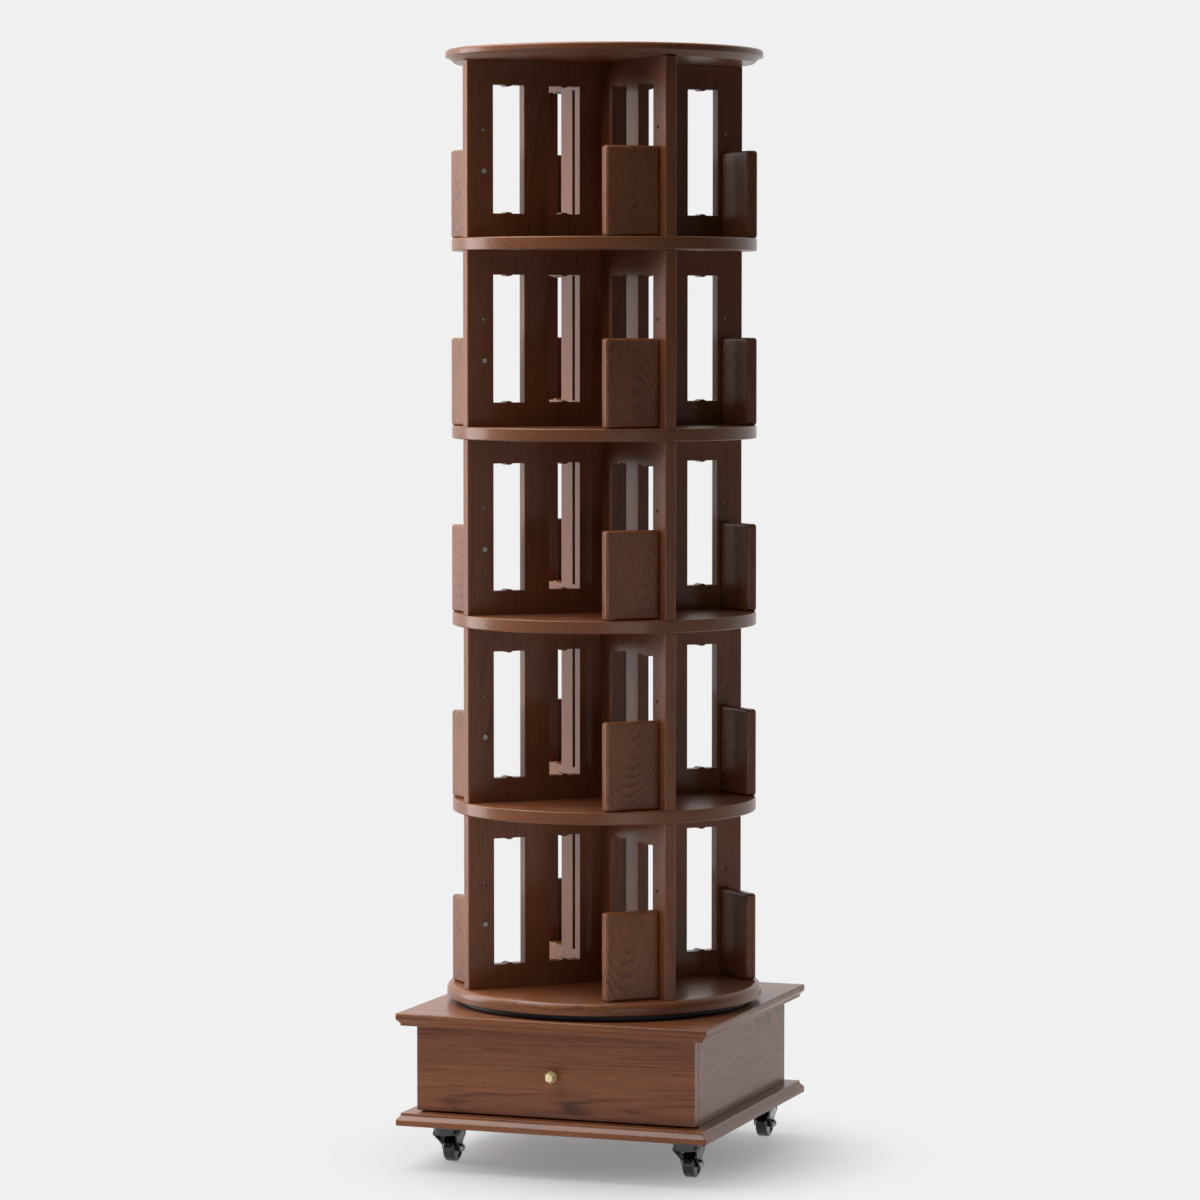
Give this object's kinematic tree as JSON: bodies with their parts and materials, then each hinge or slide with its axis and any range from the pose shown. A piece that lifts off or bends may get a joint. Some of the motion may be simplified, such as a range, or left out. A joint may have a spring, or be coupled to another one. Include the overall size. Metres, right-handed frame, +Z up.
{
  "type": "revolving bookcase",
  "caption": "Tall bookcase of round shelves and crossed window panels that turns on a square base with a drawer and swivel casters.",
  "frame": {"origin": "centre of the outline on the floor under the wheels, on the column's axis", "axes": "+Z up along the column's axis, -Y out of the drawer's front, +X to the right seen from the front"},
  "size_m": [0.462, 0.462, 1.58],
  "materials": {
    "stained_wood": "dark walnut stain, satin lacquer",
    "plain_wood": "unstained",
    "black_metal": "black, half gloss",
    "zinc_steel": "zinc plated",
    "brass": "polished",
    "black_plastic": "glossy black"
  },
  "bodies": {
    "base": {"base_top_board": "stained_wood", "base_bottom_board": "stained_wood", "base_side_left": "stained_wood", "base_side_right": "stained_wood", "base_back_panel": "stained_wood", "base_fasteners": "zinc_steel", "runner_channels": "zinc_steel", "caster_plates": "black_metal", "turntable_lower_ring": "black_metal"},
    "drawer": {"drawer_front": "stained_wood", "drawer_side_left": "plain_wood", "drawer_side_right": "plain_wood", "drawer_back": "plain_wood", "drawer_bottom": "plain_wood", "drawer_rails": "zinc_steel", "drawer_knob": "brass", "drawer_screws": "zinc_steel"},
    "runner_ball_rows": {"runner_balls": "zinc_steel"},
    "column": {"turntable_upper_ring": "black_metal", "turntable_screws": "zinc_steel", "bottom_disc": "stained_wood", "shelf_disc_1": "stained_wood", "shelf_disc_2": "stained_wood", "shelf_disc_3": "stained_wood", "shelf_disc_4": "stained_wood", "top_disc": "stained_wood", "cross_panel_a_1": "stained_wood", "cross_panel_a_2": "stained_wood", "cross_panel_a_3": "stained_wood", "cross_panel_a_4": "stained_wood", "cross_panel_a_5": "stained_wood", "cross_panel_b_1": "stained_wood", "cross_panel_b_2": "stained_wood", "cross_panel_b_3": "stained_wood", "cross_panel_b_4": "stained_wood", "cross_panel_b_5": "stained_wood", "book_stops_1": "stained_wood", "book_stops_2": "stained_wood", "book_stops_3": "stained_wood", "book_stops_4": "stained_wood", "book_stops_5": "stained_wood", "stop_screws": "zinc_steel", "panel_dowels": "plain_wood"},
    "turntable_ball_row": {"turntable_balls": "zinc_steel"},
    "fork_front_left": {"caster_fork_front_left": "black_metal", "caster_axle_front_left": "zinc_steel"},
    "wheel_front_left": {"caster_wheel_front_left": "black_plastic"},
    "pedal_front_left": {"brake_pedal_front_left": "black_metal"},
    "fork_front_right": {"caster_fork_front_right": "black_metal", "caster_axle_front_right": "zinc_steel"},
    "wheel_front_right": {"caster_wheel_front_right": "black_plastic"},
    "pedal_front_right": {"brake_pedal_front_right": "black_metal"},
    "fork_back_left": {"caster_fork_back_left": "black_metal", "caster_axle_back_left": "zinc_steel"},
    "wheel_back_left": {"caster_wheel_back_left": "black_plastic"},
    "pedal_back_left": {"brake_pedal_back_left": "black_metal"},
    "fork_back_right": {"caster_fork_back_right": "black_metal", "caster_axle_back_right": "zinc_steel"},
    "wheel_back_right": {"caster_wheel_back_right": "black_plastic"},
    "pedal_back_right": {"brake_pedal_back_right": "black_metal"}
  },
  "joints": [
    {"name": "column_spin", "type": "hinge", "parent": "base", "child": "column", "pos_m": [0, 0, 0.2275], "axis": [0, 0, 1], "continuous": true},
    {"name": "ball_row_spin", "type": "hinge", "parent": "base", "child": "turntable_ball_row", "pos_m": [0, 0, 0.2275], "axis": [0, 0, 1], "continuous": true},
    {"name": "drawer_slide", "type": "slide", "parent": "base", "child": "drawer", "axis": [0, -1, 0], "range_m": [0, 0.25]},
    {"name": "runner_ball_travel", "type": "slide", "parent": "base", "child": "runner_ball_rows", "axis": [0, -1, 0], "range_m": [0, 0.125]},
    {"name": "swivel_front_left", "type": "hinge", "parent": "base", "child": "fork_front_left", "pos_m": [-0.18, -0.157, 0.055], "axis": [0, 0, 1], "continuous": true},
    {"name": "roll_front_left", "type": "hinge", "parent": "fork_front_left", "child": "wheel_front_left", "pos_m": [-0.18, -0.138, 0.02], "axis": [1, 0, 0], "continuous": true},
    {"name": "brake_front_left", "type": "hinge", "parent": "fork_front_left", "child": "pedal_front_left", "pos_m": [-0.18, -0.136, 0.044], "axis": [1, 0, 0], "range_deg": [-8, 0]},
    {"name": "swivel_front_right", "type": "hinge", "parent": "base", "child": "fork_front_right", "pos_m": [0.18, -0.157, 0.055], "axis": [0, 0, 1], "continuous": true},
    {"name": "roll_front_right", "type": "hinge", "parent": "fork_front_right", "child": "wheel_front_right", "pos_m": [0.18, -0.138, 0.02], "axis": [1, 0, 0], "continuous": true},
    {"name": "brake_front_right", "type": "hinge", "parent": "fork_front_right", "child": "pedal_front_right", "pos_m": [0.18, -0.136, 0.044], "axis": [1, 0, 0], "range_deg": [-8, 0]},
    {"name": "swivel_back_left", "type": "hinge", "parent": "base", "child": "fork_back_left", "pos_m": [-0.18, 0.178, 0.055], "axis": [0, 0, 1], "continuous": true},
    {"name": "roll_back_left", "type": "hinge", "parent": "fork_back_left", "child": "wheel_back_left", "pos_m": [-0.18, 0.197, 0.02], "axis": [1, 0, 0], "continuous": true},
    {"name": "brake_back_left", "type": "hinge", "parent": "fork_back_left", "child": "pedal_back_left", "pos_m": [-0.18, 0.199, 0.044], "axis": [1, 0, 0], "range_deg": [-8, 0]},
    {"name": "swivel_back_right", "type": "hinge", "parent": "base", "child": "fork_back_right", "pos_m": [0.18, 0.178, 0.055], "axis": [0, 0, 1], "continuous": true},
    {"name": "roll_back_right", "type": "hinge", "parent": "fork_back_right", "child": "wheel_back_right", "pos_m": [0.18, 0.197, 0.02], "axis": [1, 0, 0], "continuous": true},
    {"name": "brake_back_right", "type": "hinge", "parent": "fork_back_right", "child": "pedal_back_right", "pos_m": [0.18, 0.199, 0.044], "axis": [1, 0, 0], "range_deg": [-8, 0]}
  ],
  "couplings": [
    {"joint": "ball_row_spin", "follows": "column_spin", "ratio": 0.5},
    {"joint": "runner_ball_travel", "follows": "drawer_slide", "ratio": 0.5}
  ]
}
